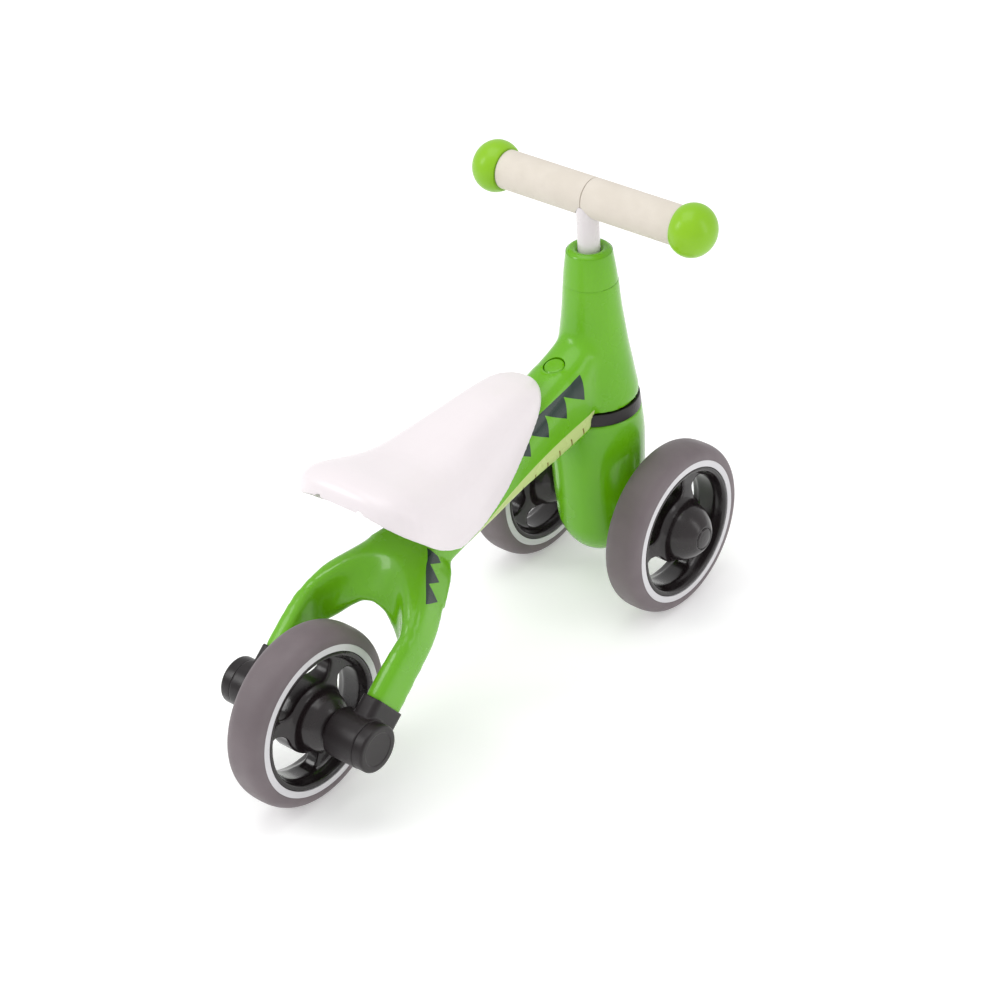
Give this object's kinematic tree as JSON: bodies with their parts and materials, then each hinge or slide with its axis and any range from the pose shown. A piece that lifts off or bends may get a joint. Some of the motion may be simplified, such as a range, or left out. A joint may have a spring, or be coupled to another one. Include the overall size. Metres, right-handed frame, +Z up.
{
  "type": "balance bike",
  "caption": "Toddler's three-wheeled balance bike with a moulded frame, a saddle, a straight handlebar that steers the paired front wheels, and one rear wheel between the legs of a fork.",
  "frame": {"origin": "on the floor, on the bike's centre plane, midway between the front and the rear axle", "axes": "+Z up, -Y towards the front wheels, +X to the rider's left"},
  "size_m": [0.2418, 0.534, 0.3946],
  "materials": {
    "green_gloss": "gloss",
    "green_satin": "satin",
    "black_gloss": "gloss",
    "tyre": "satin",
    "pale_ring": "satin",
    "seat_white": "satin",
    "cream_foam": "matte",
    "stem_white": "satin",
    "nylon": "satin",
    "steel": "satin"
  },
  "bodies": {
    "frame": {"frame_shell": "green_gloss", "head_collar": "green_gloss", "frame_plug": "green_gloss", "upper_bush": "nylon", "lower_bush": "nylon", "rear_housing_left": "black_gloss", "rear_housing_right": "black_gloss", "rear_cap_left": "black_gloss", "rear_cap_right": "black_gloss", "rear_axle": "steel", "rear_axle_nuts": "steel", "seat_shell": "seat_white", "seat_screws": "steel"},
    "steering": {"fork_body": "green_gloss", "thrust_ring": "black_gloss", "stem_tube": "stem_white", "stem_screw": "steel", "stem_clip": "steel", "bar_tube": "steel", "grip_left": "cream_foam", "grip_right": "cream_foam", "knob_left": "green_satin", "knob_right": "green_satin", "front_axle": "steel", "front_axle_nuts": "steel"},
    "wheel_front_left": {"front_left_tyre": "tyre", "front_left_rim": "black_gloss", "front_left_rings": "pale_ring", "front_left_bushes": "nylon", "hub_cap_left": "black_gloss"},
    "wheel_front_right": {"front_right_tyre": "tyre", "front_right_rim": "black_gloss", "front_right_rings": "pale_ring", "front_right_bushes": "nylon", "hub_cap_right": "black_gloss"},
    "wheel_rear": {"rear_tyre": "tyre", "rear_rim": "black_gloss", "rear_rings": "pale_ring", "rear_bushes": "nylon"}
  },
  "joints": [
    {"name": "steer", "type": "hinge", "parent": "frame", "child": "steering", "pos_m": [0, -0.186, 0.077], "axis": [0, 0.0227, 0.9997], "range_deg": [-65, 65]},
    {"name": "spin_front_left", "type": "hinge", "parent": "steering", "child": "wheel_front_left", "pos_m": [0.0745, -0.19, 0.077], "axis": [1, 0, 0], "continuous": true},
    {"name": "spin_front_right", "type": "hinge", "parent": "steering", "child": "wheel_front_right", "pos_m": [-0.0745, -0.19, 0.077], "axis": [1, 0, 0], "continuous": true},
    {"name": "spin_rear", "type": "hinge", "parent": "frame", "child": "wheel_rear", "pos_m": [0, 0.19, 0.077], "axis": [1, 0, 0], "continuous": true}
  ]
}
